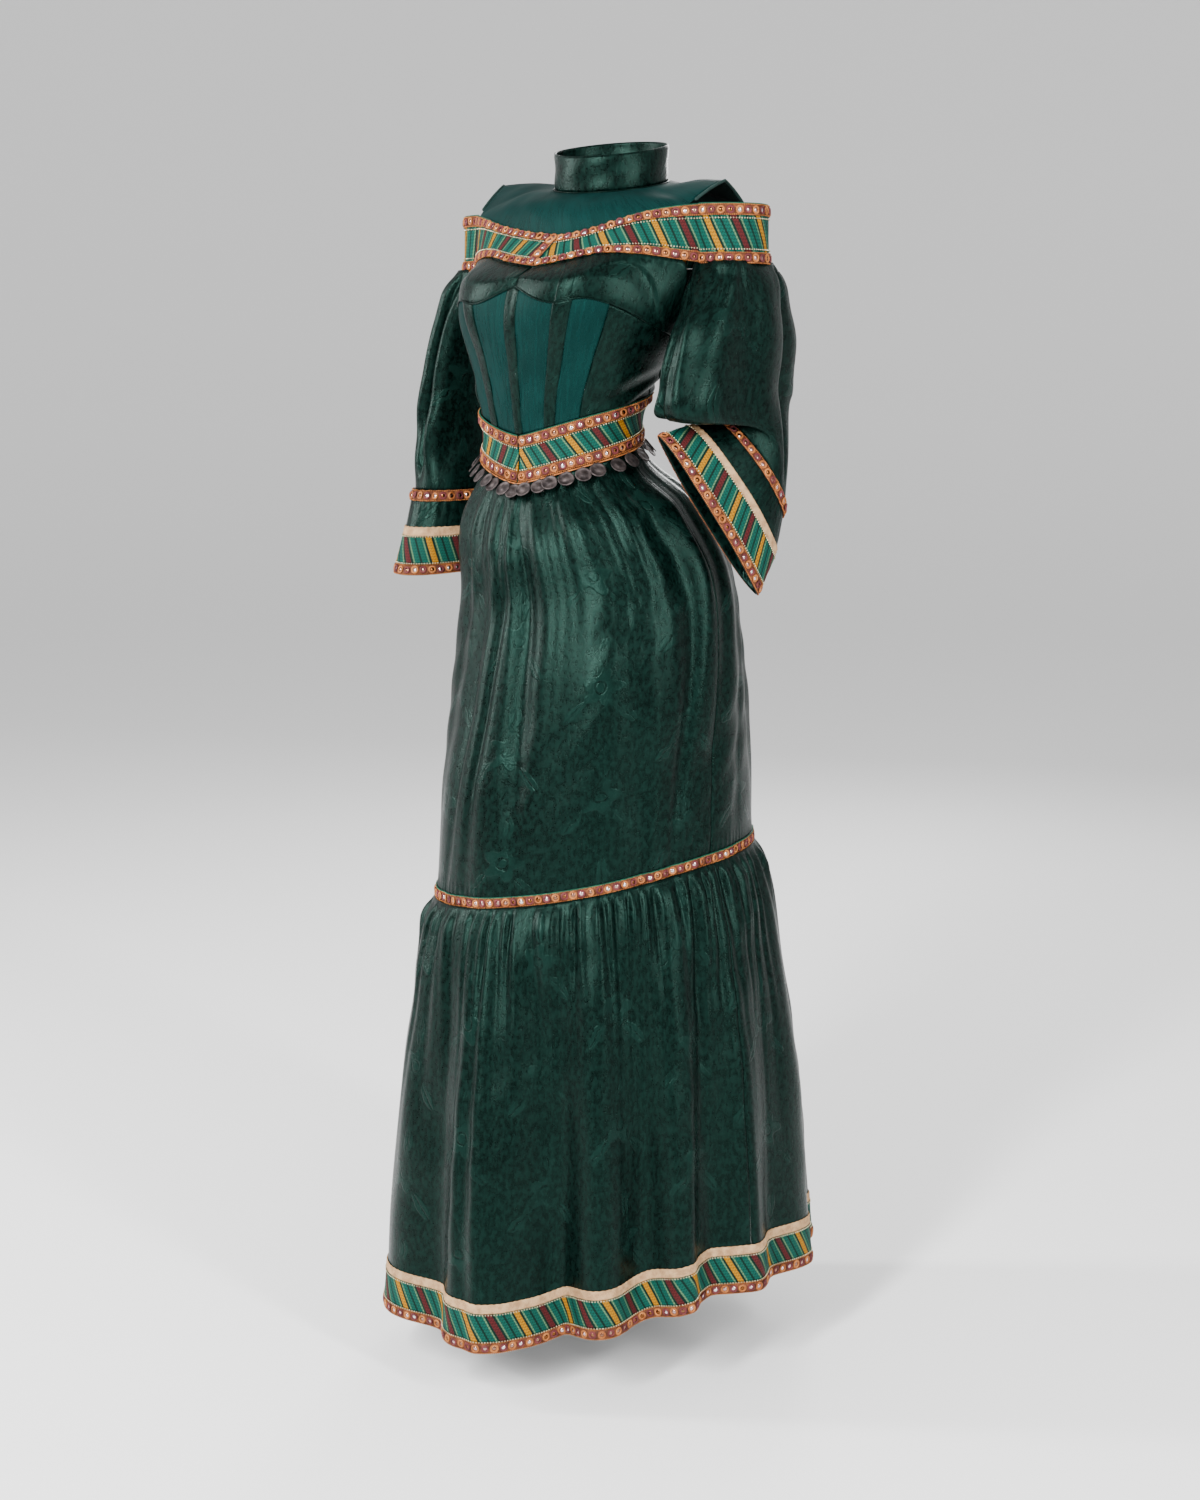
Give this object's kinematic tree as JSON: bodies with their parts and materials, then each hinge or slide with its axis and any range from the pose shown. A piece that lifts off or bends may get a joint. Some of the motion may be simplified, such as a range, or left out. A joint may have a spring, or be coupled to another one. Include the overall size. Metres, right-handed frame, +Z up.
{
  "type": "embroidered satin dress",
  "caption": "Long hollow worn dress with stand collar, sheer yoke, off-shoulder trimmed band, bell sleeves, pointed belt with coins, and a gathered skirt with flounced hem.",
  "frame": {"origin": "middle of the shoulders, where the wearer holds the dress, 1.42 m above the floor of the picture", "axes": "+Z up along the dress, -Y the way the wearer faces, +X the wearer left"},
  "size_m": [0.5876, 0.5243, 1.4256],
  "materials": {
    "satin": "deep green floral jacquard satin",
    "mesh": "sheer green mesh",
    "binding": "dark bias binding",
    "ribbon": "embroidered green, yellow and maroon stripe ribbon",
    "mirror_tape": "embroidered tape with small mirrors",
    "braid": "tan woven braid",
    "coin": "dark worn metal"
  },
  "bodies": {
    "root": {"collar": "satin", "yoke_front": "mesh", "yoke_back": "mesh", "armhole_binding_left": "binding", "armhole_binding_right": "binding", "band_ribbon_left": "ribbon", "band_tape_top_left": "mirror_tape", "band_tape_low_left": "mirror_tape", "band_ribbon_right": "ribbon", "band_tape_top_right": "mirror_tape", "band_tape_low_right": "mirror_tape", "bust_left": "satin", "bust_right": "satin", "corset_mesh": "mesh", "side_left": "satin", "side_right": "satin", "back_panel": "satin", "bone_casing_centre": "satin", "bone_casing_left": "satin", "bone_casing_right": "satin", "belt_ribbon": "ribbon", "belt_tape_top": "mirror_tape", "belt_tape_low": "mirror_tape", "coin_strip": "coin", "skirt_front": "satin", "skirt_back": "satin", "knee_tape": "mirror_tape", "flounce_front": "satin", "flounce_back": "satin", "hem_braid": "braid", "hem_ribbon": "ribbon", "hem_tape": "mirror_tape", "sleeve_left": "satin", "bell_left": "satin", "elbow_tape_left": "mirror_tape", "cuff_braid_left": "braid", "cuff_ribbon_left": "ribbon", "cuff_tape_left": "mirror_tape", "sleeve_right": "satin", "bell_right": "satin", "elbow_tape_right": "mirror_tape", "cuff_braid_right": "braid", "cuff_ribbon_right": "ribbon", "cuff_tape_right": "mirror_tape"}
  },
  "joints": []
}
